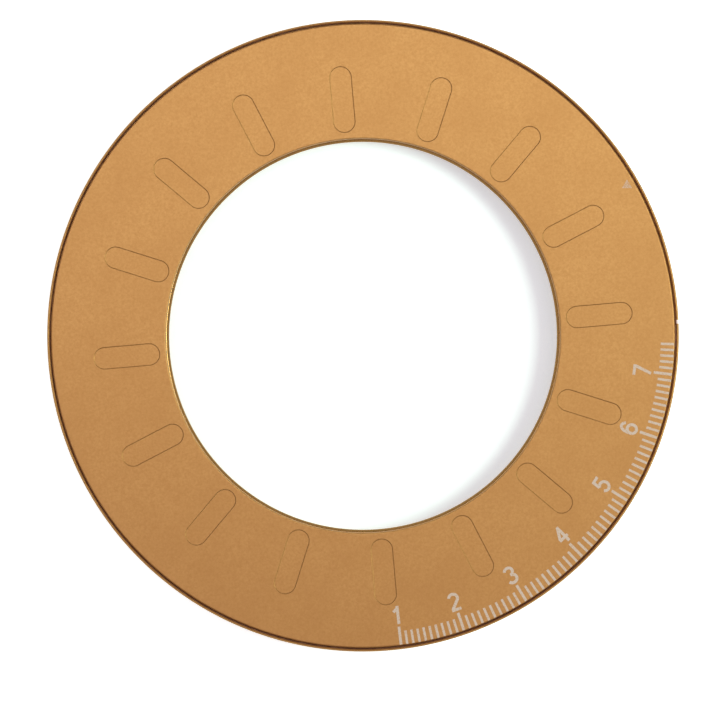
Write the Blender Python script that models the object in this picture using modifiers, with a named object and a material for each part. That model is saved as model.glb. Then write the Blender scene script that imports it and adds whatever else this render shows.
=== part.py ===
"""Iris circle template: a flat ring whose round opening is set by turning its scale ring.

Sixteen thin leaves lie in an annular channel of the base ring. Each leaf turns on a pivot pin in the
base and carries a guide pin in a radial slot on the underside of the scale ring, so turning the scale
ring swings all the leaves inwards together. The origin is the ring's centre on its underside, +Z is up,
and the leaves are drawn fully open. Sizes are in metres.
"""

import math

import bmesh
import bpy
from mathutils import Matrix, Vector

MM = 0.001

# Radial widths, from the opening outwards. They add up to the outside diameter of 125 mm.
BORE_RADIUS = 38.5 * MM  # the open way through the base ring, 77 mm across
LEAF_HIDE = 0.9 * MM  # how far an open leaf's edge lies back from the bore
LEAF_WIDTH = 12.6 * MM
CHANNEL_CLEARANCE = 1.7 * MM  # between an open leaf's outer edge and the channel's wall
LAND_WIDTH = 8.3 * MM  # the ledge of the base ring that carries the scale ring
RIM_THICKNESS = 0.5 * MM  # the thin wall round the scale ring

# Heights
FLOOR_THICKNESS = 1.5 * MM
SCALE_RING_THICKNESS = 2.0 * MM
SLOT_SKIN = 0.6 * MM  # what the slots leave standing under the scale ring's face
RIM_STEP = 0.1 * MM  # the rim's top lies this far under the scale ring's face

# Leaves
LEAF_COUNT = 16
LEAF_THICKNESS = 0.1 * MM
LEAF_GAP = 0.14 * MM  # free height between one leaf and the next
STACK_CLEARANCE = 0.12 * MM  # above and below the whole stack of leaves
SMALLEST_OPENING = 5.0 * MM  # radius
PIVOT_INSET = 6.1 * MM  # pivot's distance from the leaf's inner edge
GUIDE_EDGE = 3.0 * MM  # guide pin's distance from the leaf's outer edge
LEAF_TAB = 5.5 * MM  # leaf beyond each pin
LEAF_TIP_SHARE = 0.5  # width left at the very end of a tab
OPEN_TWIST = 0.414  # share of the stack's rise that winds round the centre with the leaves open
CLOSED_TWIST = 0.946  # share that winds round the centre with the leaves closed

# Pins
PIN_RADIUS = 0.9 * MM
PIN_CLEARANCE = 0.07 * MM  # round a pivot pin in its hole
RIVET_RADIUS = 0.5 * MM  # the pin's neck through the leaf
RIVET_CLEARANCE = 0.06 * MM
PIN_SHOULDER_GAP = 0.03 * MM
PIVOT_HOLE_DEPTH = 1.0 * MM
PIN_END_GAP = 0.1 * MM  # between a pin's end and the bottom of its hole or slot

# Guide slots in the scale ring
SLOT_PLAY = 1.2 * MM  # on each side of the pin
SLOT_INNER_SPARE = 0.15 * MM  # slot past the pin's innermost place
SLOT_OUTER_SPARE = 2.25 * MM  # slot past the pin's outermost place
FIRST_SLOT_ANGLE = math.radians(5.0)

# Retaining ring and the step of the scale ring that it holds down
WIRE_RADIUS = 0.2 * MM
WIRE_SPLIT = math.radians(4.0)
GROOVE_CLEARANCE = 0.06 * MM
FLANGE_THICKNESS = 0.9 * MM
FLANGE_CLEARANCE = 0.1 * MM
RUNNING_GAP = 0.05 * MM  # between the scale ring and what it slides on

# Edges
FACE_CHAMFER = 0.15 * MM
BORE_CHAMFER = 0.5 * MM  # round the opening, on the base ring's floor
RIM_CHAMFER = 0.2 * MM  # on both edges of the rim's top
FOOT_CHAMFER = 0.3 * MM
BORE_SETBACK = 0.5 * MM  # the scale ring's bore is this much wider than the base ring's

# Facets
RING_STEPS = 96
HOLE_STEPS = 12
PIN_STEPS = 10
WIRE_RESOLUTION = 1
LEAF_COLUMNS = 20
LEAF_ROWS = 2
SMOOTH_UP_TO = math.radians(30)
MERGE_DISTANCE = 0.01 * MM

# Places worked out from the sizes above
PITCH = 2 * math.pi / LEAF_COUNT
LEAF_INNER_RADIUS = BORE_RADIUS + LEAF_HIDE
LEAF_OUTER_RADIUS = LEAF_INNER_RADIUS + LEAF_WIDTH
LEAF_MIDDLE_RADIUS = (LEAF_INNER_RADIUS + LEAF_OUTER_RADIUS) / 2
CHANNEL_RADIUS = LEAF_OUTER_RADIUS + CHANNEL_CLEARANCE
RIM_INNER_RADIUS = CHANNEL_RADIUS + LAND_WIDTH
OUTER_RADIUS = RIM_INNER_RADIUS + RIM_THICKNESS

# A leaf turns by CLOSING_ANGLE between fully open and the smallest opening. The guide pin starts and ends
# the same distance from the centre, which sets LEAF_SPAN, the angle from a leaf's pivot to its guide pin.
PIVOT_CIRCLE = LEAF_INNER_RADIUS + PIVOT_INSET
GUIDE_CIRCLE = LEAF_OUTER_RADIUS - GUIDE_EDGE
HALF_CLOSING = math.asin((LEAF_INNER_RADIUS - SMALLEST_OPENING) / (2 * PIVOT_CIRCLE))
CLOSING_ANGLE = 2 * HALF_CLOSING
LEAF_SPAN = math.pi - HALF_CLOSING - math.asin(PIVOT_CIRCLE * math.sin(HALF_CLOSING) / GUIDE_CIRCLE)
PIN_REACH = GUIDE_CIRCLE * math.sin(LEAF_SPAN) / math.sin(HALF_CLOSING)
SLOT_RADIUS = PIN_RADIUS + SLOT_PLAY
SLOT_START = PIN_REACH - PIVOT_CIRCLE - SLOT_INNER_SPARE
SLOT_END = GUIDE_CIRCLE + SLOT_OUTER_SPARE

LEAF_PITCH = LEAF_THICKNESS + LEAF_GAP
CENTRE = Vector((-PIVOT_CIRCLE, 0.0))  # the ring's centre, seen from a leaf's pivot
CLOSED_CENTRE = Matrix.Rotation(-CLOSING_ANGLE, 2) @ CENTRE
GUIDE_PLACE = CENTRE + GUIDE_CIRCLE * Vector((math.cos(LEAF_SPAN), math.sin(LEAF_SPAN)))


def turns_round(point, centre):
    """How many leaf pitches the point lies past the leaf's middle, as seen from centre."""
    way = point - centre
    angle = math.atan2(way.y, way.x) - LEAF_SPAN / 2
    return ((angle + math.pi) % (2 * math.pi) - math.pi) / PITCH


def leaf_rise(point):
    """Height of a leaf's middle surface: it climbs from the pivot to the guide pin, so that every leaf
    lies under its neighbour at one end and over its other neighbour at the other end, open or closed."""
    twist = OPEN_TWIST * turns_round(point, CENTRE) + CLOSED_TWIST * turns_round(point, CLOSED_CENTRE)
    return LEAF_PITCH * twist


def leaf_point(along, across):
    """A point of the leaf's outline from its place along (0 to 1) and across (-1 to 1) the band."""
    tab_angle = LEAF_TAB / LEAF_MIDDLE_RADIUS
    angle = -tab_angle + along * (LEAF_SPAN + 2 * tab_angle)
    past_pin = max(0.0, -angle, angle - LEAF_SPAN) / tab_angle
    share = math.sqrt(1 - (1 - LEAF_TIP_SHARE**2) * past_pin**2)
    radius = LEAF_MIDDLE_RADIUS + across * share * LEAF_WIDTH / 2
    return CENTRE + radius * Vector((math.cos(angle), math.sin(angle)))


LEAF_LOWEST = min(leaf_rise(leaf_point(0, side)) for side in (-1, 1))
LEAF_HIGHEST = max(leaf_rise(leaf_point(1, side)) for side in (-1, 1))
LEAF_LEVEL = FLOOR_THICKNESS + STACK_CLEARANCE + LEAF_THICKNESS / 2 - LEAF_LOWEST
LAND_TOP = LEAF_LEVEL + LEAF_HIGHEST + LEAF_THICKNESS / 2 + STACK_CLEARANCE
SCALE_BOTTOM = LAND_TOP + RUNNING_GAP
SCALE_TOP = SCALE_BOTTOM + SCALE_RING_THICKNESS
FLANGE_TOP = SCALE_BOTTOM + FLANGE_THICKNESS
RIM_TOP = SCALE_TOP - RIM_STEP
WIRE_LEVEL = FLANGE_TOP + RUNNING_GAP + WIRE_RADIUS
SLOT_TOP = SCALE_TOP - SLOT_SKIN


def new_collection(name):
    collection = bpy.data.collections.new(name)
    bpy.context.scene.collection.children.link(collection)
    return collection


def finish(name, colour, metallic, roughness):
    material = bpy.data.materials.new(name)
    material.use_nodes = True
    shader = material.node_tree.nodes["Principled BSDF"]
    shader.inputs["Base Color"].default_value = (*colour, 1.0)
    shader.inputs["Metallic"].default_value = metallic
    shader.inputs["Roughness"].default_value = roughness
    return material


def place(name, mesh, collection, material=None):
    body = bpy.data.objects.new(name, mesh)
    collection.objects.link(body)
    if material and not mesh.materials:
        mesh.materials.append(material)
    return body


def mesh_from(name, shape):
    mesh = bpy.data.meshes.new(name)
    shape.to_mesh(mesh)
    shape.free()
    return mesh


def turned(name, profile, steps, collection, material, closed=True):
    """A body of revolution. The profile is (radius, height) pairs, down the outside first."""
    shape = bmesh.new()
    corners = [shape.verts.new((radius, 0, height)) for radius, height in profile]
    for start, end in zip(corners, corners[1:]):
        shape.edges.new((start, end))
    if closed:
        shape.edges.new((corners[-1], corners[0]))
    body = place(name, mesh_from(name, shape), collection, material)
    screw = body.modifiers.new("turn", "SCREW")
    screw.steps = steps
    screw.render_steps = steps
    screw.use_merge_vertices = True
    screw.merge_threshold = MERGE_DISTANCE
    return body


def set_cutter(body):
    body.hide_render = True
    body.display_type = "WIRE"
    return body


def cut(body, cutter):
    boolean = body.modifiers.new("cut " + cutter.name, "BOOLEAN")
    boolean.operation = "DIFFERENCE"
    boolean.solver = "EXACT"
    boolean.object = cutter


def add_post(shape, centre, radius, bottom, top, steps):
    """A round post in a cutter's mesh. Returns its vertices."""
    middle = Matrix.Translation((centre.x, centre.y, (bottom + top) / 2))
    flat_forward = Matrix.Rotation(math.pi / steps, 4, "Z")
    return bmesh.ops.create_cone(
        shape,
        cap_ends=True,
        segments=steps,
        radius1=radius,
        radius2=radius,
        depth=top - bottom,
        matrix=middle @ flat_forward,
    )["verts"]


def smooth(body):
    body.data.shade_smooth()
    body.data.set_sharp_from_angle(angle=SMOOTH_UP_TO)


def leaf_angle(number):
    """Where the pivot of leaf 0, 1, 2 ... stands round the ring: its guide pin is in slot 0, 1, 2 ..."""
    return FIRST_SLOT_ANGLE + number * PITCH - LEAF_SPAN


def make_base_ring(parts, cutters, material):
    """The base: floor, ledge, thin rim with the retaining ring's groove, and blind pivot holes."""
    groove_radius = RIM_INNER_RADIUS + WIRE_RADIUS + GROOVE_CLEARANCE
    groove_half = WIRE_RADIUS + GROOVE_CLEARANCE
    profile = [
        (OUTER_RADIUS - RIM_CHAMFER, RIM_TOP),
        (OUTER_RADIUS, RIM_TOP - RIM_CHAMFER),
        (OUTER_RADIUS, FOOT_CHAMFER),
        (OUTER_RADIUS - FOOT_CHAMFER, 0),
        (BORE_RADIUS, 0),
        (BORE_RADIUS, FLOOR_THICKNESS - BORE_CHAMFER),
        (BORE_RADIUS + BORE_CHAMFER, FLOOR_THICKNESS),
        (CHANNEL_RADIUS, FLOOR_THICKNESS),
        (CHANNEL_RADIUS, LAND_TOP),
        (RIM_INNER_RADIUS, LAND_TOP),
        (RIM_INNER_RADIUS, WIRE_LEVEL - groove_half),
        (groove_radius, WIRE_LEVEL - groove_half),
        (groove_radius, WIRE_LEVEL + groove_half),
        (RIM_INNER_RADIUS, WIRE_LEVEL + groove_half),
        (RIM_INNER_RADIUS, RIM_TOP - RIM_CHAMFER),
        (RIM_INNER_RADIUS + RIM_CHAMFER, RIM_TOP),
    ]
    body = turned("base_ring", profile, RING_STEPS, parts, material)
    holes = bmesh.new()
    for number in range(LEAF_COUNT):
        way = leaf_angle(number)
        centre = PIVOT_CIRCLE * Vector((math.cos(way), math.sin(way)))
        bottom = FLOOR_THICKNESS - PIVOT_HOLE_DEPTH
        radius = (PIN_RADIUS + PIN_CLEARANCE) / math.cos(math.pi / HOLE_STEPS)
        add_post(holes, centre, radius, bottom, LAND_TOP, HOLE_STEPS)
    cut(body, set_cutter(place("pivot_holes", mesh_from("pivot_holes", holes), cutters)))
    return body


def make_scale_ring(parts, cutters, material):
    """The ring that is turned by hand: a flange for the retaining ring, and blind radial slots below."""
    inner = BORE_RADIUS + BORE_SETBACK
    flange = RIM_INNER_RADIUS - FLANGE_CLEARANCE
    shoulder = RIM_INNER_RADIUS - WIRE_RADIUS - FLANGE_CLEARANCE
    profile = [
        (shoulder - FACE_CHAMFER, SCALE_TOP),
        (shoulder, SCALE_TOP - FACE_CHAMFER),
        (shoulder, FLANGE_TOP),
        (flange, FLANGE_TOP),
        (flange, SCALE_BOTTOM),
        (inner, SCALE_BOTTOM),
        (inner, SCALE_TOP - FACE_CHAMFER),
        (inner + FACE_CHAMFER, SCALE_TOP),
    ]
    body = turned("scale_ring", profile, RING_STEPS, parts, material)
    slots = bmesh.new()
    half_length = (SLOT_END - SLOT_START) / 2
    middle = Vector(((SLOT_START + SLOT_END) / 2, 0.0))
    for number in range(LEAF_COUNT):
        below = SCALE_BOTTOM - SLOT_SKIN
        corners = add_post(slots, Vector((0.0, 0.0)), SLOT_RADIUS, below, SLOT_TOP, HOLE_STEPS)
        for corner in corners:
            corner.co.x += middle.x + math.copysign(half_length, corner.co.x)
        turn = Matrix.Rotation(FIRST_SLOT_ANGLE + number * PITCH, 3, "Z")
        bmesh.ops.rotate(slots, verts=corners, cent=(0, 0, 0), matrix=turn)
    cut(body, set_cutter(place("guide_slots", mesh_from("guide_slots", slots), cutters)))
    return body


def make_retaining_ring(parts, material):
    """A split ring of round spring wire, snapped into the rim's groove over the scale ring's flange."""
    path = bpy.data.curves.new("retaining_ring", "CURVE")
    path.dimensions = "3D"
    path.bevel_depth = WIRE_RADIUS
    path.bevel_resolution = WIRE_RESOLUTION
    path.use_fill_caps = True
    route = path.splines.new("POLY")
    route.points.add(RING_STEPS - 1)
    for number, point in enumerate(route.points):
        angle = WIRE_SPLIT / 2 + number * (2 * math.pi - WIRE_SPLIT) / (RING_STEPS - 1)
        place_on_ring = (RIM_INNER_RADIUS * math.cos(angle), RIM_INNER_RADIUS * math.sin(angle))
        point.co = (*place_on_ring, WIRE_LEVEL, 1)
    return place("retaining_ring", path, parts, material)


def leaf_mesh(cutters):
    """One leaf, seen from its pivot: a dished band with a small hole for each pin's rivet neck."""
    shape = bmesh.new()
    bmesh.ops.create_grid(shape, x_segments=LEAF_COLUMNS, y_segments=LEAF_ROWS, size=1)
    for corner in shape.verts:
        flat = leaf_point((corner.co.x + 1) / 2, -corner.co.y)
        corner.co = (flat.x, flat.y, LEAF_LEVEL + leaf_rise(flat))
    bmesh.ops.recalc_face_normals(shape, faces=shape.faces)
    pattern = place("leaf_pattern", mesh_from("leaf_pattern", shape), cutters)
    solidify = pattern.modifiers.new("thickness", "SOLIDIFY")
    solidify.thickness = LEAF_THICKNESS
    solidify.offset = 0
    holes = bmesh.new()
    for centre in (Vector((0.0, 0.0)), GUIDE_PLACE):
        radius = (RIVET_RADIUS + RIVET_CLEARANCE) / math.cos(math.pi / PIN_STEPS)
        add_post(holes, centre, radius, 0, SCALE_TOP, PIN_STEPS)
    cut(pattern, set_cutter(place("rivet_holes", mesh_from("rivet_holes", holes), cutters)))
    set_cutter(pattern)
    bpy.context.view_layer.update()
    solid = pattern.evaluated_get(bpy.context.evaluated_depsgraph_get())
    mesh = bpy.data.meshes.new_from_object(solid)
    mesh.name = "leaf"
    return mesh


def pin_mesh(name, place_on_leaf, end, parts, material):
    """A pin riveted into a leaf: the shank reaches to end, and the neck fills the leaf's hole."""
    level = LEAF_LEVEL + leaf_rise(place_on_leaf)
    half = LEAF_THICKNESS / 2
    if end > level:
        shank_start = level + half + PIN_SHOULDER_GAP
        neck_end = level - half
        profile = [
            (0, end),
            (PIN_RADIUS, end),
            (PIN_RADIUS, shank_start),
            (RIVET_RADIUS, shank_start),
            (RIVET_RADIUS, neck_end),
            (0, neck_end),
        ]
    else:
        shank_start = level - half - PIN_SHOULDER_GAP
        neck_end = level + half
        profile = [
            (0, neck_end),
            (RIVET_RADIUS, neck_end),
            (RIVET_RADIUS, shank_start),
            (PIN_RADIUS, shank_start),
            (PIN_RADIUS, end),
            (0, end),
        ]
    return turned(name, profile, PIN_STEPS, parts, material, closed=False)


def make_leaves(parts, cutters, leaf_steel, pin_steel):
    """Sixteen alike leaves, each with its origin on its pivot, and each one's two pins riding on it."""
    mesh = leaf_mesh(cutters)
    pivot_end = FLOOR_THICKNESS - PIVOT_HOLE_DEPTH + PIN_END_GAP
    guide_end = SLOT_TOP - PIN_END_GAP
    for number in range(LEAF_COUNT):
        way = leaf_angle(number)
        label = f"{number + 1:02d}"
        leaf = place("leaf_" + label, mesh, parts, leaf_steel)
        leaf.location = (PIVOT_CIRCLE * math.cos(way), PIVOT_CIRCLE * math.sin(way), 0)
        leaf.rotation_euler.z = way
        pivot = pin_mesh("pivot_pin_" + label, Vector((0.0, 0.0)), pivot_end, parts, pin_steel)
        pivot.parent = leaf
        guide = pin_mesh("guide_pin_" + label, GUIDE_PLACE, guide_end, parts, pin_steel)
        guide.parent = leaf
        guide.location = (*GUIDE_PLACE, 0)


def main():
    for old in list(bpy.data.objects):
        bpy.data.objects.remove(old)
    parts = new_collection("iris_circle_template")
    cutters = new_collection("cutters")
    gold = finish("gold anodised aluminium", (0.58, 0.31, 0.12), 1.0, 0.45)
    wire_steel = finish("blued spring wire", (0.16, 0.09, 0.05), 1.0, 0.4)
    leaf_steel = finish("stainless leaf steel", (0.55, 0.54, 0.52), 1.0, 0.35)
    pin_steel = finish("bright pin steel", (0.7, 0.69, 0.66), 1.0, 0.25)
    smooth(make_base_ring(parts, cutters, gold))
    smooth(make_scale_ring(parts, cutters, gold.copy()))
    make_retaining_ring(parts, wire_steel)
    make_leaves(parts, cutters, leaf_steel, pin_steel)


main()
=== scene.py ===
import math

import bmesh
import bpy
from mathutils import Matrix, Vector


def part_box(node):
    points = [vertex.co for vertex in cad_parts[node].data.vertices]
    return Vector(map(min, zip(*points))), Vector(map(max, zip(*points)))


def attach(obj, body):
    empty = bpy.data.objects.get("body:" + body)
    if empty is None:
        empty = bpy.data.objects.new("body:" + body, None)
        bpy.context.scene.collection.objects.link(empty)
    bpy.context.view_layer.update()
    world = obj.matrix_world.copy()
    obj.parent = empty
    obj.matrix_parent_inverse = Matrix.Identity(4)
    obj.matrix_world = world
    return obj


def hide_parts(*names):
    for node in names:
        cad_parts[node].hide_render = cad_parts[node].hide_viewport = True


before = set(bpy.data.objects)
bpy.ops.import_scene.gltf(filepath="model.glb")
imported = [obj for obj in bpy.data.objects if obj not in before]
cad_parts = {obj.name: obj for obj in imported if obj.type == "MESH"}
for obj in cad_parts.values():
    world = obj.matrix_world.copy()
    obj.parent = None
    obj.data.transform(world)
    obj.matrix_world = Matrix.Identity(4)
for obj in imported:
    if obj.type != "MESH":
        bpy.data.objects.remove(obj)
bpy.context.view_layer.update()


# ---- Base ring ---------------------------------------------------------------------------------
# Turned from one aluminium blank: a thin floor that the leaves lie on, a broad ledge for the scale
# ring and a rim half a millimetre thick round it. Sixteen blind holes in the floor take the leaves'
# pivots. It is bead-blasted and anodised gold after machining.

MM = 0.001
LEAVES = 16
PITCH = 2 * math.pi / LEAVES
SECTOR_STEPS = 16  # facets of a turned edge between one leaf and the next
BORE = 38.5 * MM
BORE_BEVEL = 0.5 * MM
FLOOR_TOP = 1.5 * MM
LEAF_HIDE = 0.9 * MM  # how far an open leaf's edge lies back from the bore
LEAF_WIDTH = 12.6 * MM
LEAF_INNER = BORE + LEAF_HIDE
LEAF_OUTER = LEAF_INNER + LEAF_WIDTH
CHANNEL_SPARE = 1.7 * MM  # between an open leaf's outer edge and the wall of the channel
CHANNEL = LEAF_OUTER + CHANNEL_SPARE
SCALE_FLOOR, SCALE_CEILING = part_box("scale_ring")
RUNNING_GAP = 0.05 * MM  # between the scale ring and what it slides on
LEDGE_TOP = SCALE_FLOOR.z - RUNNING_GAP
FLANGE_THICKNESS = 0.9 * MM  # of the scale ring's edge, under the snap wire
FLANGE_TOP = SCALE_FLOOR.z + FLANGE_THICKNESS
WIRE_RADIUS = 0.2 * MM
WIRE_LEVEL = FLANGE_TOP + RUNNING_GAP + WIRE_RADIUS
GROOVE_CLEARANCE = 0.06 * MM
GROOVE = WIRE_RADIUS + GROOVE_CLEARANCE  # half the height of the wire's groove
RIM_THICKNESS = 0.5 * MM
RIM_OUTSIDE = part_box("base_ring")[1].x
RIM_INSIDE = RIM_OUTSIDE - RIM_THICKNESS
RIM_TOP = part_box("base_ring")[1].z
RIM_CHAMFER = 0.2 * MM
PIVOT_INSET = 6.1 * MM  # from an open leaf's inner edge
PIVOT_CIRCLE = LEAF_INNER + PIVOT_INSET
PIN_RADIUS = 0.9 * MM
PIN_CLEARANCE = 0.07 * MM
PIVOT_HOLE = PIN_RADIUS + PIN_CLEARANCE
PIVOT_HOLE_DEPTH = 1.0 * MM
HOLE_STEPS = 24
FINE_EDGE = 0.06 * MM
EDGE_BAND = 0.25 * MM  # flat strip beside an edge, which carries the wear and a painted highlight
WEAR_AND_HIGHLIGHT_FROM = math.radians(15)  # edges that turn more sharply than this are rubbed and carry a painted highlight
TURNED_AND_SHADED_SPARE = 0.05 * MM  # how far the shiny turning, and the painted shade on it, run on past the bore's bevel
TOUCHING = 0.001 * MM

# Half of a leaf's swing, from fully open to the smallest opening, and the angle round the ring from
# its pivot pin to its guide pin. The guide pin starts and ends as far from the ring's centre.
SMALLEST_OPENING = 5.0 * MM  # radius
GUIDE_EDGE = 3.0 * MM  # from the guide pin to the leaf's outer edge
GUIDE_CIRCLE = LEAF_OUTER - GUIDE_EDGE
HALF_SWING = math.asin((LEAF_INNER - SMALLEST_OPENING) / (2 * PIVOT_CIRCLE))
LEAF_SPAN = math.pi - HALF_SWING - math.asin(PIVOT_CIRCLE * math.sin(HALF_SWING) / GUIDE_CIRCLE)
FIRST_SLOT = math.radians(5.0)
FIRST_PIVOT = FIRST_SLOT - LEAF_SPAN


def turned_outline(corners, start=0.0):
    """An upright outline on the ring's radius, from (radius, height, rounding) corners."""
    shape = bmesh.new()
    points = [shape.verts.new((radius, 0, height)) for radius, height, rounding in corners]
    for here, there in zip(points, points[1:]):
        shape.edges.new((here, there))
    for point, (radius, height, rounding) in zip(points, corners):
        if rounding:
            bmesh.ops.bevel(shape, geom=[point], offset=rounding, affect="VERTICES",
                            segments=3, profile=0.5, material=-1)
    bmesh.ops.rotate(shape, verts=shape.verts, cent=(0, 0, 0), matrix=Matrix.Rotation(start, 3, "Z"))
    return shape


def turn(shape, steps):
    """Turns every edge of the shape once round the ring's axis."""
    bmesh.ops.spin(shape, geom=shape.verts[:] + shape.edges[:], cent=(0, 0, 0), axis=(0, 0, 1),
                   angle=2 * math.pi, steps=steps, use_merge=True)


def add_pierced_face(shape, inside, outside, height, middle, cutout):
    """Adds a flat ring in which every pitch holds one face with the outline that cutout draws.
    middle is the angle of the first of those faces."""
    pattern = bmesh.new()
    start = middle - PITCH / 2
    ends = [pattern.verts.new((radius * math.cos(start), radius * math.sin(start), height))
            for radius in (inside, outside)]
    side = pattern.edges.new(ends)
    bmesh.ops.spin(pattern, geom=[*ends, side], cent=(0, 0, 0), axis=(0, 0, 1),
                   angle=PITCH, steps=SECTOR_STEPS)
    bmesh.ops.dissolve_faces(pattern, faces=pattern.faces[:])
    border = [edge for edge in pattern.edges if edge.is_boundary]
    bmesh.ops.delete(pattern, geom=pattern.faces[:], context="FACES_ONLY")
    corners = cutout(pattern)
    bmesh.ops.rotate(pattern, verts=corners, cent=(0, 0, 0), matrix=Matrix.Rotation(middle, 3, "Z"))
    bmesh.ops.translate(pattern, verts=corners, vec=(0, 0, height))
    outline = list({edge for corner in corners for edge in corner.link_edges})
    bmesh.ops.triangle_fill(pattern, use_beauty=True, edges=border + outline)
    bmesh.ops.contextual_create(pattern, geom=outline)
    bmesh.ops.spin(pattern, geom=pattern.verts[:] + pattern.edges[:] + pattern.faces[:],
                   cent=(0, 0, 0), axis=(0, 0, 1), angle=2 * math.pi - PITCH, steps=LEAVES - 1,
                   use_duplicate=True)
    mesh = bpy.data.meshes.new("pierced_face")
    pattern.to_mesh(mesh)
    pattern.free()
    shape.from_mesh(mesh)
    bpy.data.meshes.remove(mesh)


def close_up(shape):
    """Welds the parts of a shell and turns every face outwards."""
    bmesh.ops.remove_doubles(shape, verts=shape.verts, dist=TOUCHING)
    bmesh.ops.recalc_face_normals(shape, faces=shape.faces)


def cut_pockets(shape, level, steps, lip, depth):
    """Sinks each whole face with that many sides at that height, behind a broken edge."""
    pockets = [face for face in shape.faces
               if len(face.verts) == steps and abs(face.calc_center_median().z - level) < TOUCHING]
    up = math.copysign(1, -pockets[0].normal.z)
    bmesh.ops.inset_individual(shape, faces=pockets, thickness=EDGE_BAND, use_even_offset=True)
    bmesh.ops.inset_individual(shape, faces=pockets, thickness=lip, depth=-lip, use_even_offset=True)
    floors = bmesh.ops.extrude_discrete_faces(shape, faces=pockets)["faces"]
    corners = [corner for floor in floors for corner in floor.verts]
    bmesh.ops.translate(shape, verts=corners, vec=(0, 0, up * (depth - lip)))
    bmesh.ops.inset_individual(shape, faces=floors, thickness=lip, depth=-lip, use_even_offset=True)


def mark_finish(shape, turned_and_shaded_radius=0.0):
    """Marks the points round the bore, turned smooth and shiny as far out as turned_and_shaded_radius,
    where the material paints shade, and elsewhere the points on edges and roundings, where handling
    rubs the finish and the material paints a highlight."""
    turned = shape.verts.layers.float.new("turned")
    rubbed_and_highlit = shape.verts.layers.float.new("rubbed_and_highlit")
    for point in shape.verts:
        turns = [edge.calc_face_angle(0.0) for edge in point.link_edges]
        # the points round the bore get painted shade in the material, for the shaded step between the
        # rings
        point[turned] = float(point.co.xy.length < turned_and_shaded_radius)
        # edges that turn sharply get the paler colour: partly wear, partly a painted highlight
        point[rubbed_and_highlit] = float(max(turns) > WEAR_AND_HIGHLIGHT_FROM) * (1 - point[turned])


def piece(name, shape, finish, body, crease=40):
    """Makes a finished piece from its shape: shaded smooth, creased where it turns that sharply."""
    mesh = bpy.data.meshes.new(name)
    shape.to_mesh(mesh)
    shape.free()
    mesh.materials.append(finish)
    mesh.shade_smooth()
    mesh.set_sharp_from_angle(angle=math.radians(crease))
    made = bpy.data.objects.new(name, mesh)
    bpy.context.scene.collection.objects.link(made)
    even = made.modifiers.new("even shading", "WEIGHTED_NORMAL")
    even.keep_sharp = True
    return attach(made, body)


def pivot_hole(pattern):
    """A pivot hole's outline, with the band round it."""
    place = Matrix.Translation((PIVOT_CIRCLE, 0, 0))
    radius = PIVOT_HOLE + FINE_EDGE + EDGE_BAND
    return bmesh.ops.create_circle(pattern, segments=HOLE_STEPS, radius=radius,
                                   matrix=place)["verts"]


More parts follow.
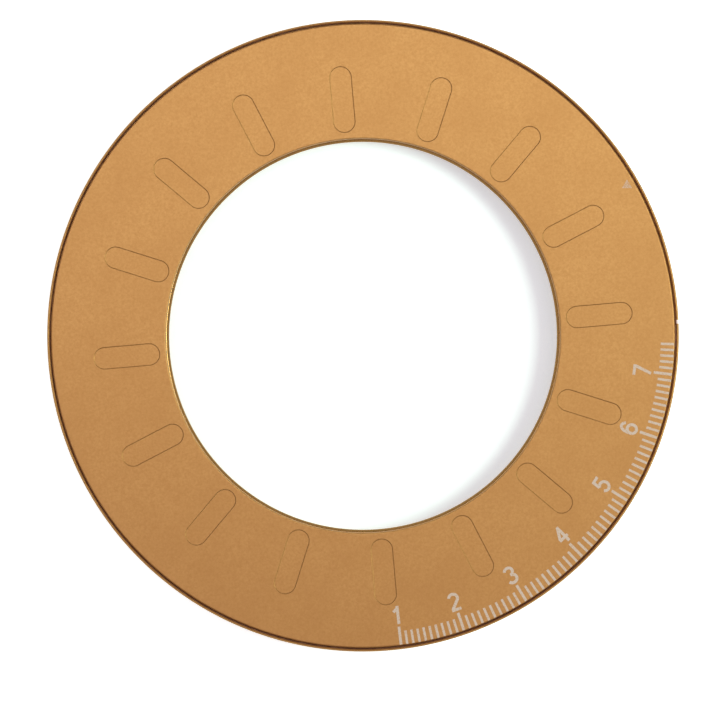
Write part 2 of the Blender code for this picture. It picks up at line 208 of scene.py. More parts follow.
def gold_anodised(name, pale, deep_dye_and_shade, rubbed_and_highlit):
    """Gold dye over blasted aluminium: the dye takes a little unevenly, the blasting leaves a fine
    even grain that breaks up the shine, and edges are a little paler and smoother from handling, their
    paler colour partly a painted highlight. Surfaces that are turned after blasting are smooth and
    shiny, and the darker colour they take is painted shade for the step round the bore."""
    finish = bpy.data.materials.new(name)
    finish.use_nodes = True
    nodes = finish.node_tree.nodes
    link = finish.node_tree.links.new
    metal = nodes["Principled BSDF"]
    metal.inputs["Metallic"].default_value = 1.0
    place = nodes.new("ShaderNodeTexCoord").outputs["Object"]

    def noise(size, detail):
        made = nodes.new("ShaderNodeTexNoise")
        made.inputs["Scale"].default_value = 1 / size
        made.inputs["Detail"].default_value = detail
        link(place, made.inputs["Vector"])
        return made.outputs["Fac"]

    def spread(value, low, high):
        made = nodes.new("ShaderNodeMapRange")
        made.inputs["From Min"].default_value = 0.3
        made.inputs["From Max"].default_value = 0.7
        made.inputs["To Min"].default_value = low
        made.inputs["To Max"].default_value = high
        link(value, made.inputs["Value"])
        return made.outputs["Result"]

    def mix(share, first, second):
        made = nodes.new("ShaderNodeMix")
        made.data_type = "RGBA"
        link(share, made.inputs["Factor"])
        for socket, colour in ((made.inputs["A"], first), (made.inputs["B"], second)):
            if isinstance(colour, tuple):
                socket.default_value = (*colour, 1)
            else:
                link(colour, socket)
        return made.outputs["Result"]

    def times(first, second):
        made = nodes.new("ShaderNodeMath")
        made.operation = "MULTIPLY"
        link(first, made.inputs[0])
        link(second, made.inputs[1])
        return made.outputs["Value"]

    clouds = noise(9 * MM, 2)
    mottle = noise(0.45 * MM, 2)
    grain = noise(0.16 * MM, 1)
    dyed = mix(spread(clouds, 0.0, 0.45), pale, deep_dye_and_shade)
    speckled = mix(spread(mottle, 0.0, 0.8), dyed, deep_dye_and_shade)
    # edges: partly rubbed by handling, partly a painted highlight in the paler colour
    edge = nodes.new("ShaderNodeAttribute")
    edge.attribute_name = "rubbed_and_highlit"
    wear_and_highlight = times(edge.outputs["Fac"], spread(mottle, 0.5, 1.0))
    # turned points round the bore take the darker colour: painted shade in the step between the rings
    turned_and_shaded = nodes.new("ShaderNodeAttribute")
    turned_and_shaded.attribute_name = "turned"
    worn = mix(wear_and_highlight, speckled, rubbed_and_highlit)
    link(mix(turned_and_shaded.outputs["Fac"], worn, deep_dye_and_shade), metal.inputs["Base Color"])
    blasted = nodes.new("ShaderNodeMix")
    link(wear_and_highlight, blasted.inputs["Factor"])
    link(spread(grain, 0.42, 0.56), blasted.inputs["A"])
    blasted.inputs["B"].default_value = 0.3
    smooth = nodes.new("ShaderNodeMix")
    link(turned_and_shaded.outputs["Fac"], smooth.inputs["Factor"])
    link(blasted.outputs["Result"], smooth.inputs["A"])
    smooth.inputs["B"].default_value = 0.24
    link(smooth.outputs["Result"], metal.inputs["Roughness"])
    coarse = nodes.new("ShaderNodeBump")
    coarse.inputs["Strength"].default_value = 0.25
    coarse.inputs["Distance"].default_value = 0.004 * MM
    link(mottle, coarse.inputs["Height"])
    fine = nodes.new("ShaderNodeBump")
    fine.inputs["Strength"].default_value = 0.5
    fine.inputs["Distance"].default_value = 0.006 * MM
    link(grain, fine.inputs["Height"])
    link(coarse.outputs["Normal"], fine.inputs["Normal"])
    link(fine.outputs["Normal"], metal.inputs["Normal"])
    return finish


# its pale pinkish edge colour is partly wear, partly a painted highlight of the white table on the rim
base_gold = gold_anodised("base gold", (0.55, 0.325, 0.113), (0.47, 0.26, 0.085), (0.80, 0.64, 0.54))
floor_inner = BORE + BORE_BEVEL + EDGE_BAND
floor_outer = CHANNEL - EDGE_BAND
base = turned_outline([
    (floor_outer, FLOOR_TOP, 0),
    (CHANNEL, FLOOR_TOP, 0.12 * MM),
    (CHANNEL, LEDGE_TOP, 0.12 * MM),
    (RIM_INSIDE, LEDGE_TOP, 0),
    (RIM_INSIDE, WIRE_LEVEL - GROOVE, 0),
    (RIM_INSIDE + GROOVE, WIRE_LEVEL - GROOVE, 0.05 * MM),
    (RIM_INSIDE + GROOVE, WIRE_LEVEL + GROOVE, 0.05 * MM),
    (RIM_INSIDE, WIRE_LEVEL + GROOVE, 0),
    (RIM_INSIDE, RIM_TOP - RIM_CHAMFER, 0.04 * MM),
    (RIM_INSIDE + RIM_CHAMFER, RIM_TOP, 0.03 * MM),
    (RIM_OUTSIDE - RIM_CHAMFER, RIM_TOP, 0.06 * MM),
    (RIM_OUTSIDE, RIM_TOP - RIM_CHAMFER, 0.06 * MM),
    (RIM_OUTSIDE, 0, 0.35 * MM),
    (BORE, 0, 0.2 * MM),
    (BORE, FLOOR_TOP - BORE_BEVEL, 0.1 * MM),
    (BORE + BORE_BEVEL, FLOOR_TOP, 0.06 * MM),
    (floor_inner, FLOOR_TOP, 0),
], FIRST_PIVOT - PITCH / 2)
turn(base, LEAVES * SECTOR_STEPS)
add_pierced_face(base, floor_inner, floor_outer, FLOOR_TOP, FIRST_PIVOT, pivot_hole)
close_up(base)
cut_pockets(base, FLOOR_TOP, HOLE_STEPS, FINE_EDGE, PIVOT_HOLE_DEPTH)
# the turned points round the bore carry painted shade
mark_finish(base, BORE + BORE_BEVEL + TURNED_AND_SHADED_SPARE)
base = piece("base_body", base, base_gold, "base")
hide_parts("base_ring")


# ---- Index line --------------------------------------------------------------------------------
# A short white line printed across the top of the rim: the scale is read against it.

INK_THICKNESS = 0.012 * MM
INDEX_ANGLE = math.radians(2.55)
INDEX_WIDTH = 0.75 * MM


def printed_ink(name, colour, bare, worn):
    """White pad-printing ink: chalky, a little thin, with the metal showing where it is worn."""
    finish = bpy.data.materials.new(name)
    finish.use_nodes = True
    nodes = finish.node_tree.nodes
    link = finish.node_tree.links.new
    ink = nodes["Principled BSDF"]
    ink.inputs["Specular IOR Level"].default_value = 0.3
    place = nodes.new("ShaderNodeTexCoord").outputs["Object"]
    pinholes = nodes.new("ShaderNodeTexNoise")
    pinholes.inputs["Scale"].default_value = 1 / (0.22 * MM)
    pinholes.inputs["Detail"].default_value = 2
    link(place, pinholes.inputs["Vector"])
    cover = nodes.new("ShaderNodeValToRGB")
    cover.color_ramp.elements[0].position = worn - 0.08
    cover.color_ramp.elements[0].color = (*bare, 1)
    cover.color_ramp.elements[1].position = worn + 0.08
    cover.color_ramp.elements[1].color = (*colour, 1)
    link(pinholes.outputs["Fac"], cover.inputs["Fac"])
    link(cover.outputs["Color"], ink.inputs["Base Color"])
    chalk = nodes.new("ShaderNodeMapRange")
    chalk.inputs["To Min"].default_value = 0.75
    chalk.inputs["To Max"].default_value = 0.45
    link(pinholes.outputs["Fac"], chalk.inputs["Value"])
    link(chalk.outputs["Result"], ink.inputs["Roughness"])
    bump = nodes.new("ShaderNodeBump")
    bump.inputs["Strength"].default_value = 0.3
    bump.inputs["Distance"].default_value = 0.004 * MM
    link(pinholes.outputs["Fac"], bump.inputs["Height"])
    link(bump.outputs["Normal"], ink.inputs["Normal"])
    return finish


white_ink = printed_ink("white ink", (0.63, 0.56, 0.45), (0.57, 0.39, 0.22), 0.40)
fresh_ink = printed_ink("fresh white ink", (0.92, 0.86, 0.82), (0.80, 0.66, 0.56), 0.30)
index = turned_outline([
    (RIM_INSIDE + INK_THICKNESS, RIM_TOP - RIM_CHAMFER + 2 * INK_THICKNESS, 0),
    (RIM_INSIDE + RIM_CHAMFER, RIM_TOP + INK_THICKNESS, 0),
    (RIM_OUTSIDE - RIM_CHAMFER, RIM_TOP + INK_THICKNESS, 0),
    (RIM_OUTSIDE - INK_THICKNESS, RIM_TOP - RIM_CHAMFER + 2 * INK_THICKNESS, 0),
    (RIM_OUTSIDE - 4 * INK_THICKNESS, RIM_TOP - RIM_CHAMFER, 0),
    (RIM_INSIDE + 4 * INK_THICKNESS, RIM_TOP - RIM_CHAMFER, 0),
], INDEX_ANGLE - INDEX_WIDTH / RIM_OUTSIDE / 2)
bmesh.ops.contextual_create(index, geom=index.verts[:])
bmesh.ops.spin(index, geom=index.verts[:] + index.edges[:] + index.faces[:], cent=(0, 0, 0),
               axis=(0, 0, 1), angle=INDEX_WIDTH / RIM_OUTSIDE, steps=4)
close_up(index)
piece("index_line", index, fresh_ink, "base")


# ---- Leaves ------------------------------------------------------------------------------------
# Sixteen blades cut from rolled stainless strip a tenth of a millimetre thick. Each is a curved band
# that climbs from its pivot to its guide pin, so it lies under one neighbour and over the other.

LEAF_THICKNESS = 0.1 * MM
LEAF_GAP = 0.14 * MM
LEAF_PITCH = LEAF_THICKNESS + LEAF_GAP  # rise from one leaf to the next
LEAF_MIDDLE = (LEAF_INNER + LEAF_OUTER) / 2  # radius of the band's middle line
LEAF_TAB = 5.5 * MM  # blade beyond each pin
LEAF_TIP = 0.5  # share of the width left at the end of a tab
LEAF_COLUMNS = 96
LEAF_ROWS = 10
OPEN_TWIST = 0.414  # share of the climb that winds round the centre with the leaves open
CLOSED_TWIST = 0.946  # share that winds round it with the leaves closed
STACK_CLEARANCE = 0.12 * MM
RIVET_NECK = 0.5 * MM
RIVET_CLEARANCE = 0.06 * MM
RIVET_HOLE = RIVET_NECK + RIVET_CLEARANCE
PUNCH_LENGTH = 20 * MM
centre = Vector((-PIVOT_CIRCLE, 0.0))  # the ring's centre as seen from a leaf's pivot
closed_centre = Matrix.Rotation(-2 * HALF_SWING, 2) @ centre
guide_place = centre + GUIDE_CIRCLE * Vector((math.cos(LEAF_SPAN), math.sin(LEAF_SPAN)))


def pitches_round(point, middle):
    """How many leaf pitches a point lies past the leaf's middle, seen from the given centre."""
    way = point - middle
    angle = math.atan2(way.y, way.x) - LEAF_SPAN / 2
    return ((angle + math.pi) % (2 * math.pi) - math.pi) / PITCH


def leaf_rise(point):
    """Height of the blade's middle surface over its level, at a point seen from the pivot."""
    turns = OPEN_TWIST * pitches_round(point, centre)
    turns += CLOSED_TWIST * pitches_round(point, closed_centre)
    return LEAF_PITCH * turns


def leaf_point(along, across):
    """A point of the flat band, from its place along (0 to 1) and across (-1 to 1) it."""
    tab = LEAF_TAB / LEAF_MIDDLE
    angle = -tab + along * (LEAF_SPAN + 2 * tab)
    past_pin = max(0.0, -angle, angle - LEAF_SPAN) / tab
    share = math.sqrt(1 - (1 - LEAF_TIP**2) * past_pin**2)
    radius = LEAF_MIDDLE + across * share * LEAF_WIDTH / 2
    return centre + radius * Vector((math.cos(angle), math.sin(angle)))


def rolled_steel(name, dark, light, length, width):
    """Rolled strip: long fine drawn lines along the blade, and rub marks where blades slide."""
    finish = bpy.data.materials.new(name)
    finish.use_nodes = True
    nodes = finish.node_tree.nodes
    link = finish.node_tree.links.new
    metal = nodes["Principled BSDF"]
    metal.inputs["Metallic"].default_value = 1.0
    strip = nodes.new("ShaderNodeUVMap")
    strip.uv_map = "strip"

    def noise(along, across, detail):
        stretch = nodes.new("ShaderNodeMapping")
        stretch.inputs["Scale"].default_value = (length / along, width / across, 1)
        link(strip.outputs["UV"], stretch.inputs["Vector"])
        made = nodes.new("ShaderNodeTexNoise")
        made.inputs["Scale"].default_value = 1.0
        made.inputs["Detail"].default_value = detail
        link(stretch.outputs["Vector"], made.inputs["Vector"])
        return made.outputs["Fac"]

    drawn = noise(14 * MM, 0.12 * MM, 2)
    rubs = noise(26 * MM, 1.1 * MM, 2)
    tone = nodes.new("ShaderNodeValToRGB")
    tone.color_ramp.elements[0].position = 0.3
    tone.color_ramp.elements[0].color = (*dark, 1)
    tone.color_ramp.elements[1].position = 0.7
    tone.color_ramp.elements[1].color = (*light, 1)
    link(drawn, tone.inputs["Fac"])
    link(tone.outputs["Color"], metal.inputs["Base Color"])
    sheen = nodes.new("ShaderNodeMapRange")
    sheen.inputs["From Min"].default_value = 0.3
    sheen.inputs["From Max"].default_value = 0.7
    sheen.inputs["To Min"].default_value = 0.32
    sheen.inputs["To Max"].default_value = 0.42
    link(rubs, sheen.inputs["Value"])
    link(sheen.outputs["Result"], metal.inputs["Roughness"])
    bump = nodes.new("ShaderNodeBump")
    bump.inputs["Strength"].default_value = 0.12
    bump.inputs["Distance"].default_value = 0.003 * MM
    link(drawn, bump.inputs["Height"])
    link(bump.outputs["Normal"], metal.inputs["Normal"])
    return finish


leaf_steel = rolled_steel("leaf steel", (0.30, 0.32, 0.31), (0.43, 0.46, 0.44),
                          LEAF_SPAN * LEAF_MIDDLE + 2 * LEAF_TAB, LEAF_WIDTH)
leaf_low = min(leaf_rise(leaf_point(0, side)) for side in (-1, 1))
leaf_level = FLOOR_TOP + STACK_CLEARANCE + LEAF_THICKNESS / 2 - leaf_low
blade = bmesh.new()
blade.loops.layers.uv.new("strip")
bmesh.ops.create_grid(blade, x_segments=LEAF_COLUMNS, y_segments=LEAF_ROWS, size=1, calc_uvs=True)
for corner in blade.verts:
    flat = leaf_point((corner.co.x + 1) / 2, -corner.co.y)
    corner.co = (flat.x, flat.y, leaf_level + leaf_rise(flat))
bmesh.ops.recalc_face_normals(blade, faces=blade.faces)
blank_mesh = bpy.data.meshes.new("leaf_blank")
blade.to_mesh(blank_mesh)
blade.free()
blank = bpy.data.objects.new("leaf_blank", blank_mesh)
bpy.context.scene.collection.objects.link(blank)
gauge = blank.modifiers.new("gauge", "SOLIDIFY")
gauge.thickness = LEAF_THICKNESS
gauge.offset = 0
punch = bmesh.new()
for hole in (Vector((0.0, 0.0)), guide_place):
    bmesh.ops.create_cone(punch, cap_ends=True, segments=HOLE_STEPS, radius1=RIVET_HOLE,
                          radius2=RIVET_HOLE, depth=PUNCH_LENGTH,
                          matrix=Matrix.Translation((hole.x, hole.y, 0)))
punch_mesh = bpy.data.meshes.new("leaf_punch")
punch.to_mesh(punch_mesh)
punch.free()
punch = bpy.data.objects.new("leaf_punch", punch_mesh)
bpy.context.scene.collection.objects.link(punch)
holes = blank.modifiers.new("holes", "BOOLEAN")
holes.object = punch
bpy.context.view_layer.update()
leaf_mesh = bpy.data.meshes.new_from_object(blank.evaluated_get(bpy.context.evaluated_depsgraph_get()))
bpy.data.objects.remove(blank)
bpy.data.objects.remove(punch)
leaf_places = {}
for number in range(LEAVES):
    label = f"{number + 1:02d}"
    angle = FIRST_PIVOT + number * PITCH
    pivot = (PIVOT_CIRCLE * math.cos(angle), PIVOT_CIRCLE * math.sin(angle), 0)
    leaf_places[label] = Matrix.Translation(pivot) @ Matrix.Rotation(angle, 4, "Z")
    shape = bmesh.new()
    shape.from_mesh(leaf_mesh)
    bmesh.ops.transform(shape, matrix=leaf_places[label], verts=shape.verts)
    leaf = piece("leaf_blade_" + label, shape, leaf_steel, "leaf_" + label)
    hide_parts("leaf_" + label)
bpy.data.meshes.remove(leaf_mesh)


# ---- Pins --------------------------------------------------------------------------------------
# Each leaf carries two turned steel pins, riveted through it by a thin neck: the pivot pin points
# down into its hole in the base, and the guide pin points up into its slot in the scale ring.

PIN_SHOULDER = 0.03 * MM  # between the leaf and the thick part of the pin
PIN_END_GAP = 0.1 * MM
PIN_STEPS = 32
SLOT_SKIN = 0.6 * MM  # what the slots leave standing under the scale ring's face
SLOT_CEILING = SCALE_CEILING.z - SLOT_SKIN


def turned_steel(name, dark, light):
    """Bright turned steel with the fine rings that the lathe leaves."""
    finish = bpy.data.materials.new(name)
    finish.use_nodes = True
    nodes = finish.node_tree.nodes
    link = finish.node_tree.links.new
    metal = nodes["Principled BSDF"]
    metal.inputs["Metallic"].default_value = 1.0
    place = nodes.new("ShaderNodeTexCoord").outputs["Object"]
    stretch = nodes.new("ShaderNodeMapping")
    stretch.inputs["Scale"].default_value = (1 / (2 * MM), 1 / (2 * MM), 1 / (0.08 * MM))
    link(place, stretch.inputs["Vector"])
    rings = nodes.new("ShaderNodeTexNoise")
    rings.inputs["Scale"].default_value = 1.0
    link(stretch.outputs["Vector"], rings.inputs["Vector"])
    tone = nodes.new("ShaderNodeValToRGB")
    tone.color_ramp.elements[0].position = 0.3
    tone.color_ramp.elements[0].color = (*dark, 1)
    tone.color_ramp.elements[1].position = 0.7
    tone.color_ramp.elements[1].color = (*light, 1)
    link(rings.outputs["Fac"], tone.inputs["Fac"])
    link(tone.outputs["Color"], metal.inputs["Base Color"])
    polish = nodes.new("ShaderNodeMapRange")
    polish.inputs["To Min"].default_value = 0.18
    polish.inputs["To Max"].default_value = 0.36
    link(rings.outputs["Fac"], polish.inputs["Value"])
    link(polish.outputs["Result"], metal.inputs["Roughness"])
    return finish


def pin(place_on_leaf, end):
    """A pin in its leaf's frame: the neck fills the hole, and the shank runs to the height end."""
    level = leaf_level + leaf_rise(place_on_leaf)
    way = math.copysign(1, end - level)
    shank = level + way * (LEAF_THICKNESS / 2 + PIN_SHOULDER)
    shape = turned_outline([
        (0, level - way * LEAF_THICKNESS / 2, 0),
        (RIVET_NECK, level - way * LEAF_THICKNESS / 2, 0.01 * MM),
        (RIVET_NECK, shank, 0),
        (PIN_RADIUS, shank, 0.02 * MM),
        (PIN_RADIUS, end, 0.15 * MM),
        (0, end, 0),
    ])
    turn(shape, PIN_STEPS)
    close_up(shape)
    bmesh.ops.translate(shape, verts=shape.verts, vec=(*place_on_leaf, 0))
    return shape


pin_steel = turned_steel("pin steel", (0.50, 0.49, 0.47), (0.72, 0.71, 0.68))
pin_ends = {
    "pivot": (Vector((0.0, 0.0)), FLOOR_TOP - PIVOT_HOLE_DEPTH + PIN_END_GAP),
    "guide": (guide_place, SLOT_CEILING - PIN_END_GAP),
}
for label, leaf_place in leaf_places.items():
    for kind, (place_on_leaf, end) in pin_ends.items():
        shape = pin(place_on_leaf, end)
        bmesh.ops.transform(shape, matrix=leaf_place, verts=shape.verts)
        rivet = piece(f"{kind}_rivet_{label}", shape, pin_steel, "leaf_" + label)
        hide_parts(f"{kind}_pin_{label}")


# ---- Scale ring --------------------------------------------------------------------------------
# The ring that is turned by hand, machined from aluminium plate, blasted and anodised gold like the
# base. Blind radial slots in its underside drive the guide pins, and a shallow sunk mark on the face
# shows where each one runs. A flange below its outer edge is held down by the snap wire.

SCALE_FACE = SCALE_CEILING.z - INK_THICKNESS
BORE_SETBACK = 0.5 * MM
SCALE_BORE = BORE + BORE_SETBACK
FLANGE_CLEARANCE = 0.1 * MM
SCALE_EDGE = RIM_INSIDE - WIRE_RADIUS - FLANGE_CLEARANCE
FLANGE_EDGE = SCALE_CEILING.x
CHAMFER = 0.15 * MM
UNDERSIDE_BAND = 0.5 * MM  # flat strip beside each edge of the underside
SLOT_PLAY = 1.2 * MM  # on each side of the guide pin
SLOT_RADIUS = PIN_RADIUS + SLOT_PLAY
SLOT_INNER_SPARE = 0.15 * MM  # slot past the guide pin's innermost place
SLOT_INNER = guide_place.length - PIVOT_CIRCLE - SLOT_INNER_SPARE
SLOT_OUTER_SPARE = 2.25 * MM
SLOT_OUTER = GUIDE_CIRCLE + SLOT_OUTER_SPARE
SLOT_STEPS = 32
SLOT_LIP = 0.05 * MM
MARK_INNER = 42.5 * MM  # the sunk mark on the face lies over the slot and is a little broader
MARK_OUTER = 51.28 * MM
MARK_RADIUS = 2.22 * MM
MARK_STEPS = 48
MARK_WALL = 0.17 * MM
MARK_DEPTH = 0.12 * MM


def long_hole(pattern, inner, outer, radius, steps):
    """A slot's outline, pointing outwards from the ring's centre."""
    turned = Matrix.Rotation(math.pi / steps, 4, "Z")
    corners = bmesh.ops.create_circle(pattern, segments=steps, radius=radius, matrix=turned)["verts"]
    for corner in corners:
        corner.co.x += inner if corner.co.x < 0 else outer
    return corners


def guide_slot(pattern):
    """A guide slot's outline in the underside, with the band round it."""
    return long_hole(pattern, SLOT_INNER, SLOT_OUTER, SLOT_RADIUS + EDGE_BAND, SLOT_STEPS)


def sunk_mark(pattern):
    """A sunk mark's outline in the face."""
    return long_hole(pattern, MARK_INNER, MARK_OUTER, MARK_RADIUS, MARK_STEPS)


# its paler edge colour is partly wear and partly a painted highlight on the chamfers
scale_gold = gold_anodised("scale gold", (0.575, 0.345, 0.120), (0.485, 0.27, 0.088), (0.64, 0.42, 0.22))
face_edge = CHAMFER + EDGE_BAND
first_edge = FIRST_SLOT - PITCH / 2
outer_wall = turned_outline([
    (SCALE_EDGE - face_edge, SCALE_FACE, 0),
    (SCALE_EDGE - CHAMFER, SCALE_FACE, 0.04 * MM),
    (SCALE_EDGE, SCALE_FACE - CHAMFER, 0.04 * MM),
    (SCALE_EDGE, FLANGE_TOP, 0),
    (FLANGE_EDGE, FLANGE_TOP, 0.06 * MM),
    (FLANGE_EDGE, SCALE_FLOOR.z, 0.1 * MM),
    (FLANGE_EDGE - UNDERSIDE_BAND, SCALE_FLOOR.z, 0),
], first_edge)
inner_wall = turned_outline([
    (SCALE_BORE + UNDERSIDE_BAND, SCALE_FLOOR.z, 0),
    (SCALE_BORE, SCALE_FLOOR.z, 0.1 * MM),
    (SCALE_BORE, SCALE_FACE - CHAMFER, 0.04 * MM),
    (SCALE_BORE + CHAMFER, SCALE_FACE, 0.04 * MM),
    (SCALE_BORE + face_edge, SCALE_FACE, 0),
], first_edge)
for wall in (outer_wall, inner_wall):
    turn(wall, LEAVES * SECTOR_STEPS)
inner_mesh = bpy.data.meshes.new("inner_wall")
inner_wall.to_mesh(inner_mesh)
inner_wall.free()
outer_wall.from_mesh(inner_mesh)
bpy.data.meshes.remove(inner_mesh)
scale = outer_wall
add_pierced_face(scale, SCALE_BORE + face_edge, SCALE_EDGE - face_edge, SCALE_FACE,
                 FIRST_SLOT, sunk_mark)
add_pierced_face(scale, SCALE_BORE + UNDERSIDE_BAND, FLANGE_EDGE - UNDERSIDE_BAND, SCALE_FLOOR.z,
                 FIRST_SLOT, guide_slot)
close_up(scale)
cut_pockets(scale, SCALE_FLOOR.z, SLOT_STEPS, SLOT_LIP, SLOT_CEILING - SCALE_FLOOR.z)
mark_finish(scale)
marks = [face for face in scale.faces if len(face.verts) == MARK_STEPS]
bmesh.ops.inset_individual(scale, faces=marks, thickness=MARK_WALL, depth=-MARK_DEPTH,
                           use_even_offset=True)
scale = piece("scale_body", scale, scale_gold, "scale_ring", crease=24)
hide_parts("scale_ring")


# ---- Printed scale -----------------------------------------------------------------------------
# The opening's diameter in centimetres, pad-printed in white: ten lines to the unit and a figure at
# each whole one. Each line stands where the index points when the leaves leave that opening.

LINE_START = SCALE_EDGE - CHAMFER
SHORT_LINE = 2.65 * MM
LONG_LINE = 3.6 * MM
SHORT_LINE_WIDTH = 0.48 * MM
LONG_LINE_WIDTH = 0.54 * MM
FIRST_READING = 10  # in millimetres of opening
LAST_READING = 75
FIGURE_HEIGHT = 3.7 * MM
FIGURE_WIDTH = 2.5 * MM
FIGURE_MIDDLE = 55.65 * MM
STROKE = 0.58 * MM


def ring_turn(diameter):
    """How far the ring turns from fully open until the leaves leave this opening."""
    swing = 2 * math.asin((LEAF_INNER - diameter / 2) / (2 * PIVOT_CIRCLE))
    pin_now = Matrix.Rotation(swing, 2) @ guide_place - centre
    return math.atan2(pin_now.y, pin_now.x) - LEAF_SPAN


lines = bmesh.new()
for reading in range(FIRST_READING, LAST_READING + 1):
    whole = reading % 10 == 0
    length = LONG_LINE if whole else SHORT_LINE
    width = LONG_LINE_WIDTH if whole else SHORT_LINE_WIDTH
    line = bmesh.ops.create_cube(lines, size=1)["verts"]
    bmesh.ops.scale(lines, verts=line, vec=(length, width, INK_THICKNESS))
    middle = (LINE_START - length / 2, 0, SCALE_CEILING.z - INK_THICKNESS / 2)
    bmesh.ops.translate(lines, verts=line, vec=middle)
    spot = Matrix.Rotation(INDEX_ANGLE - ring_turn(reading * MM), 3, "Z")
    bmesh.ops.rotate(lines, verts=line, cent=(0, 0, 0), matrix=spot)
piece("scale_lines", lines, white_ink, "scale_ring")


def bow(x, y, wide, tall, start, end):
    """Points along part of an oval, from one angle to another in degrees; 90 is its top."""
    steps = 24
    angles = [math.radians(start + (end - start) * step / steps) for step in range(steps + 1)]
    return [(x + wide * math.cos(angle), y + tall * math.sin(angle)) for angle in angles]


# The pen's strokes for each figure, in a box from -1 to 1 both ways. Square ends reach past it.
strokes = {
    1: [[(0.1, -1.15), (0.1, 1.15)], [(0.1, 0.86), (-0.8, 0.4)]],
    2: [[*bow(0, 0.45, 0.9, 0.55, 165, -25), (-0.8, -0.92)], [(-1.0, -1.0), (1.0, -1.0)]],
    3: [bow(0, 0.52, 0.85, 0.48, 160, -90), bow(0, -0.48, 0.95, 0.52, 90, -160)],
    4: [[(0.45, -1.15), (0.45, 1.15)], [(0.4, 0.95), (-0.9, -0.34)], [(-1.1, -0.45), (1.1, -0.45)]],
    5: [[(0.85, 1.0), (-0.6, 1.0), (-0.8, 0.05)], bow(0, -0.38, 0.92, 0.62, 145, -155)],
    6: [[*bow(0.05, 0, 0.95, 1.0, 35, 190), *bow(0, -0.4, 0.9, 0.6, 200, 550)]],
    7: [[(-1.0, 1.0), (1.15, 1.0)], [(0.88, 0.9), (-0.3, -1.15)]],
}
nothing = bpy.data.collections.new("nothing")  # a union with nothing welds a figure's own strokes
for figure, lines_drawn in strokes.items():
    shape = bmesh.new()
    for line in lines_drawn:
        points = [shape.verts.new((x * (FIGURE_WIDTH - STROKE) / 2, y * (FIGURE_HEIGHT - STROKE) / 2, 0))
                  for x, y in line]
        for here, there in zip(points, points[1:]):
            shape.edges.new((here, there))
    raised = bmesh.ops.extrude_edge_only(shape, edges=shape.edges[:])["geom"]
    raised = [item for item in raised if isinstance(item, bmesh.types.BMVert)]
    bmesh.ops.translate(shape, verts=raised, vec=(0, 0, INK_THICKNESS))
    flat = bpy.data.meshes.new("figure")
    shape.to_mesh(flat)
    shape.free()
    drawn = bpy.data.objects.new("figure", flat)
    bpy.context.scene.collection.objects.link(drawn)
    pen = drawn.modifiers.new("pen", "SOLIDIFY")
    pen.thickness = STROKE
    pen.offset = 0
    pen.use_even_offset = True
    joined = drawn.modifiers.new("joined", "BOOLEAN")
    joined.operation = "UNION"
    joined.operand_type = "COLLECTION"
    joined.collection = nothing
    joined.use_self = True
    bpy.context.view_layer.update()
    inked = bpy.data.meshes.new_from_object(drawn.evaluated_get(bpy.context.evaluated_depsgraph_get()))
    bpy.data.objects.remove(drawn)
    bpy.data.meshes.remove(flat)
    shape = bmesh.new()
    shape.from_mesh(inked)
    bpy.data.meshes.remove(inked)
    middle = (0, -FIGURE_MIDDLE, SCALE_CEILING.z - INK_THICKNESS)
    bmesh.ops.translate(shape, verts=shape.verts, vec=middle)
    angle = INDEX_ANGLE - ring_turn(figure * 10 * MM) + math.pi / 2
    bmesh.ops.rotate(shape, verts=shape.verts, cent=(0, 0, 0), matrix=Matrix.Rotation(angle, 3, "Z"))
    close_up(shape)
    piece(f"scale_figure_{figure}", shape, white_ink, "scale_ring")
bpy.data.collections.remove(nothing)


# ---- Pointer mark ------------------------------------------------------------------------------
# A small triangle in the same ink near the scale ring's edge, almost rubbed away. It points inwards.

POINTER_ANGLE = math.radians(29.7)
POINTER_MIDDLE = 60.1 * MM
POINTER_SIZE = 1.15 * MM  # from its middle to a corner
faded_ink = printed_ink("faded ink", (0.62, 0.48, 0.33), (0.57, 0.33, 0.14), 0.48)
pointer = bmesh.new()
bmesh.ops.create_cone(pointer, cap_ends=True, segments=3, radius1=POINTER_SIZE, radius2=POINTER_SIZE,
                      depth=INK_THICKNESS, matrix=Matrix.Rotation(math.pi / 2, 4, "Z"))
middle = (POINTER_MIDDLE, 0, SCALE_CEILING.z - INK_THICKNESS / 2)
bmesh.ops.translate(pointer, verts=pointer.verts, vec=middle)
bmesh.ops.rotate(pointer, verts=pointer.verts, cent=(0, 0, 0),
                 matrix=Matrix.Rotation(POINTER_ANGLE, 3, "Z"))
piece("pointer_mark", pointer, faded_ink, "scale_ring")


# ---- Snap wire ---------------------------------------------------------------------------------
# A split ring of blued spring wire, sprung into the groove inside the rim over the scale ring's
# flange. Its near-black colour is partly painted shade: it makes the dark line between the scale
# ring and the rim, where the narrow gap round it lies in shade.

WIRE_SPLIT = math.radians(4.0)
WIRE_SIDES = 12


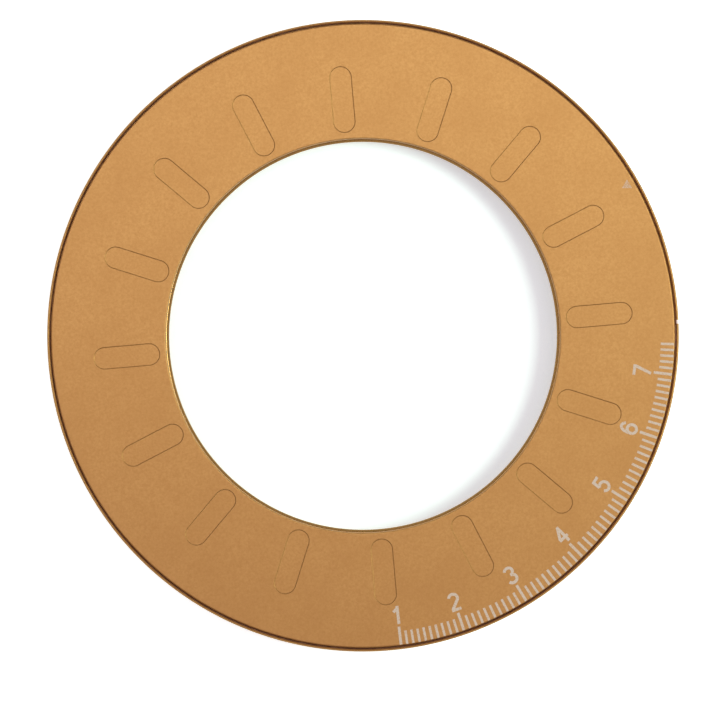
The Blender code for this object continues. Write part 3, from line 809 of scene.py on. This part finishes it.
def blued_wire_and_shade(name, dark, light):
    """Heat-blued spring steel: brown-black oxide, worn to bare metal in small patches; the darkness
    is partly painted shade for the gap the wire sits in.
    """
    finish = bpy.data.materials.new(name)
    finish.use_nodes = True
    nodes = finish.node_tree.nodes
    link = finish.node_tree.links.new
    metal = nodes["Principled BSDF"]
    metal.inputs["Metallic"].default_value = 1.0
    place = nodes.new("ShaderNodeTexCoord").outputs["Object"]
    oxide = nodes.new("ShaderNodeTexNoise")
    oxide.inputs["Scale"].default_value = 1 / (1.5 * MM)
    oxide.inputs["Detail"].default_value = 3
    link(place, oxide.inputs["Vector"])
    tone = nodes.new("ShaderNodeValToRGB")
    tone.color_ramp.elements[0].position = 0.35
    tone.color_ramp.elements[0].color = (*dark, 1)
    tone.color_ramp.elements[1].position = 0.75
    tone.color_ramp.elements[1].color = (*light, 1)
    link(oxide.outputs["Fac"], tone.inputs["Fac"])
    link(tone.outputs["Color"], metal.inputs["Base Color"])
    dull = nodes.new("ShaderNodeMapRange")
    dull.inputs["To Min"].default_value = 0.3
    dull.inputs["To Max"].default_value = 0.55
    link(oxide.outputs["Fac"], dull.inputs["Value"])
    link(dull.outputs["Result"], metal.inputs["Roughness"])
    return finish


# the near-black colour is partly painted shade for the gap round the scale ring
wire_blue_and_shade = blued_wire_and_shade("blued wire and painted shade", (0.18, 0.09, 0.05), (0.36, 0.20, 0.12))
wire = bmesh.new()
upright = Matrix.Translation((RIM_INSIDE, 0, WIRE_LEVEL)) @ Matrix.Rotation(math.pi / 2, 4, "X")
bmesh.ops.create_circle(wire, cap_ends=True, segments=WIRE_SIDES, radius=WIRE_RADIUS, matrix=upright)
bmesh.ops.rotate(wire, verts=wire.verts, cent=(0, 0, 0), matrix=Matrix.Rotation(WIRE_SPLIT / 2, 3, "Z"))
bmesh.ops.spin(wire, geom=wire.verts[:] + wire.edges[:] + wire.faces[:], cent=(0, 0, 0),
               axis=(0, 0, 1), angle=2 * math.pi - WIRE_SPLIT, steps=LEAVES * SECTOR_STEPS)
close_up(wire)
wire = piece("snap_wire", wire, wire_blue_and_shade, "base")
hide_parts("retaining_ring")


# ---- Table, light and camera -------------------------------------------------------------------
# A plain white table under broad soft light that comes mostly from the right, in a grey room with a
# warmer ceiling. The table's top also glows, as painted light: brighter round the ring, which washes out
# the ring's cast shadow there, and weaker in the middle, so the shadow in the hole still shows.
# The lens looks straight down.

TABLE_SIZE = 3.0  # metres
TABLE_GAP = 0.02 * MM
table_shape = bmesh.new()
bmesh.ops.create_grid(table_shape, x_segments=1, y_segments=1, size=TABLE_SIZE / 2,
                      matrix=Matrix.Translation((0, 0, -TABLE_GAP)))
table_mesh = bpy.data.meshes.new("table_top")
table_shape.to_mesh(table_mesh)
table_shape.free()
table_top = bpy.data.objects.new("table_top", table_mesh)
bpy.context.scene.collection.objects.link(table_top)
glow_table = bpy.data.materials.new("table with painted glow")
glow_table.use_nodes = True
glow_table_sheet = glow_table.node_tree.nodes["Principled BSDF"]
glow_table_sheet.inputs["Base Color"].default_value = (0.82, 0.95, 0.94, 1)
glow_table_sheet.inputs["Roughness"].default_value = 0.9
glow_table_sheet.inputs["Emission Color"].default_value = (0.95, 1, 1, 1)
place = glow_table.node_tree.nodes.new("ShaderNodeTexCoord").outputs["Object"]
far = glow_table.node_tree.nodes.new("ShaderNodeVectorMath")
far.operation = "LENGTH"
# painted light: the glow grows from the bore out to the rim, to wash out the ring's cast shadow outside
# it
painted_glow = glow_table.node_tree.nodes.new("ShaderNodeMapRange")
painted_glow.inputs["From Min"].default_value = BORE
painted_glow.inputs["From Max"].default_value = RIM_OUTSIDE
painted_glow.inputs["To Min"].default_value = 0.34
painted_glow.inputs["To Max"].default_value = 0.75
glow_table.node_tree.links.new(place, far.inputs[0])
glow_table.node_tree.links.new(far.outputs["Value"], painted_glow.inputs["Value"])
glow_table.node_tree.links.new(painted_glow.outputs["Result"], glow_table_sheet.inputs["Emission Strength"])
table_mesh.materials.append(glow_table)

room = bpy.data.worlds.new("room")
room.use_nodes = True
sky = room.node_tree.nodes["Background"]
upward = room.node_tree.nodes.new("ShaderNodeSeparateXYZ")
ceiling = room.node_tree.nodes.new("ShaderNodeValToRGB")
ceiling.color_ramp.elements[0].position = 0.5
ceiling.color_ramp.elements[0].color = (0.31, 0.28, 0.29, 1)
ceiling.color_ramp.elements[1].position = 0.85
ceiling.color_ramp.elements[1].color = (0.47, 0.27, 0.35, 1)
aim = room.node_tree.nodes.new("ShaderNodeTexCoord").outputs["Generated"]
room.node_tree.links.new(aim, upward.inputs["Vector"])
room.node_tree.links.new(upward.outputs["Z"], ceiling.inputs["Fac"])
room.node_tree.links.new(ceiling.outputs["Color"], sky.inputs["Color"])
bpy.context.scene.world = room


def softbox(name, place, wide, tall, glow, colour):
    """A soft light that faces the ring, as bright as its glow all over."""
    lamp = bpy.data.lights.new(name, "AREA")
    lamp.shape = "RECTANGLE"
    lamp.size = wide
    lamp.size_y = tall
    lamp.energy = glow * math.pi * wide * tall
    lamp.color = colour
    stand = bpy.data.objects.new(name, lamp)
    stand.location = place
    stand.rotation_euler = (-Vector(place)).to_track_quat("-Z", "Y").to_euler()
    bpy.context.scene.collection.objects.link(stand)


softbox("overhead", (-0.02, 0.08, 0.30), wide=0.42, tall=0.12, glow=1.75, colour=(0.92, 0.92, 0.90))
softbox("window", (0.72, 0.02, 0.90), wide=0.36, tall=0.36, glow=17.5, colour=(0.88, 1.0, 0.86))

VIEW_WIDTH = 142.4 * MM
VIEW_MIDDLE = (-0.60 * MM, -4.80 * MM)
CAMERA_DISTANCE = 1.5
camera = bpy.data.cameras.new("camera")
camera.lens = camera.sensor_width * CAMERA_DISTANCE / VIEW_WIDTH
eye = bpy.data.objects.new("camera", camera)
eye.location = (*VIEW_MIDDLE, SCALE_FACE + CAMERA_DISTANCE)
bpy.context.scene.collection.objects.link(eye)
bpy.context.scene.camera = eye
bpy.context.scene.view_settings.view_transform = "Standard"
